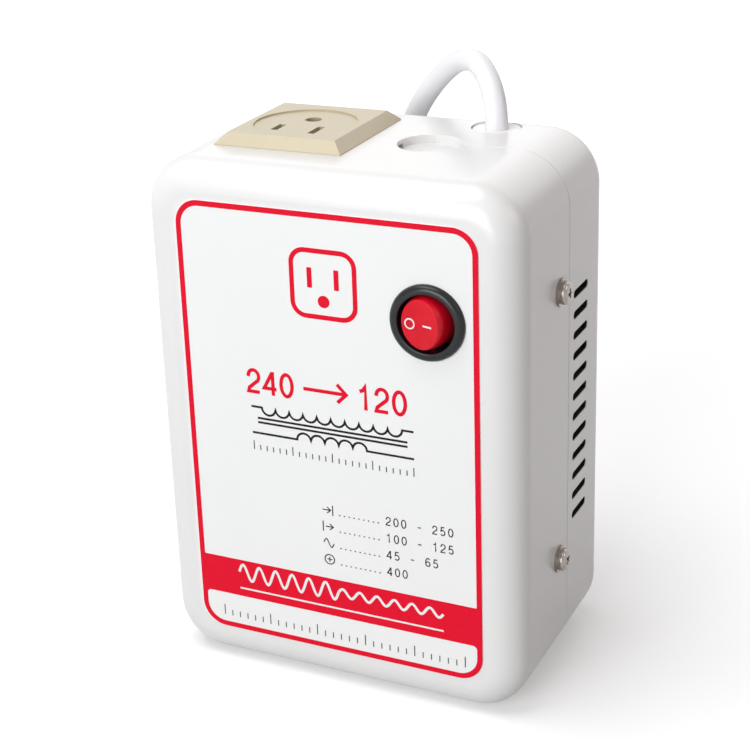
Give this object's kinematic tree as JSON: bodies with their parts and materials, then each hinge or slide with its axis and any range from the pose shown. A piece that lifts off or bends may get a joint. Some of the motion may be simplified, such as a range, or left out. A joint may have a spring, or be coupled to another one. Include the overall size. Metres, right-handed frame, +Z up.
{
  "type": "travel voltage converter",
  "caption": "White upright voltage converter with a flat-blade outlet on top, a lit round rocker switch on the front, side vents and a mains cord with a plug.",
  "frame": {"origin": "centre of the base", "axes": "+X to the right seen from the front, +Y to the back, +Z up"},
  "size_m": [0.151, 0.2198, 0.1859],
  "materials": {
    "white_abs": "glossy moulded",
    "printed_label": "printed vinyl",
    "beige_plastic": "satin moulded",
    "black_plastic": "satin moulded",
    "red_plastic": "clear tinted",
    "cord_vinyl": "satin vinyl",
    "nickel_steel": "nickel plated",
    "contact_brass": "pressed strip",
    "core_steel": "varnished silicon steel laminations",
    "copper_wire": "enamelled copper",
    "tape": "polyester film tape",
    "lamp_glass": "clear",
    "brown_lead": "vinyl insulation",
    "blue_lead": "vinyl insulation",
    "green_lead": "vinyl insulation"
  },
  "bodies": {
    "case": {"front_shell": "white_abs", "rear_shell": "white_abs", "front_label": "printed_label", "side_screws": "nickel_steel", "side_washers": "nickel_steel", "outlet_face": "beige_plastic", "outlet_base": "beige_plastic", "live_contact": "contact_brass", "neutral_contact": "contact_brass", "earth_contact": "contact_brass", "outlet_terminal_screws": "nickel_steel", "switch_housing": "black_plastic", "common_terminal": "contact_brass", "load_terminal": "contact_brass", "lamp_terminal": "contact_brass", "core_e_stack": "core_steel", "core_i_stack": "core_steel", "core_bolts": "nickel_steel", "bobbin": "black_plastic", "primary_winding": "copper_wire", "secondary_winding": "copper_wire", "winding_tape": "tape", "thermal_fuse": "white_abs", "cord_bushing": "cord_vinyl", "cord_inner_end": "cord_vinyl", "mains_cord": "cord_vinyl", "cord_coil": "cord_vinyl", "plug_body": "cord_vinyl", "plug_line_pins": "contact_brass", "plug_earth_pin": "contact_brass", "live_lead": "brown_lead", "neutral_lead": "blue_lead", "earth_lead": "green_lead", "switched_lead": "brown_lead", "lamp_lead": "blue_lead", "output_live_lead": "brown_lead", "output_neutral_lead": "blue_lead"},
    "rocker": {"switch_rocker": "red_plastic", "rocker_plunger": "white_abs", "rocker_spring": "nickel_steel", "neon_lamp": "lamp_glass"},
    "arm": {"contact_arm": "contact_brass"}
  },
  "joints": [
    {"name": "rocker_tilt", "type": "hinge", "parent": "case", "child": "rocker", "pos_m": [0.0328, -0.03465, 0.1253], "axis": [0, 0, 1], "range_deg": [0, 24]},
    {"name": "arm_tilt", "type": "hinge", "parent": "case", "child": "arm", "pos_m": [0.0328, -0.0251, 0.1253], "axis": [0, 0, 1], "range_deg": [-12, 0]}
  ],
  "couplings": [
    {"joint": "arm_tilt", "follows": "rocker_tilt", "ratio": -0.5}
  ]
}
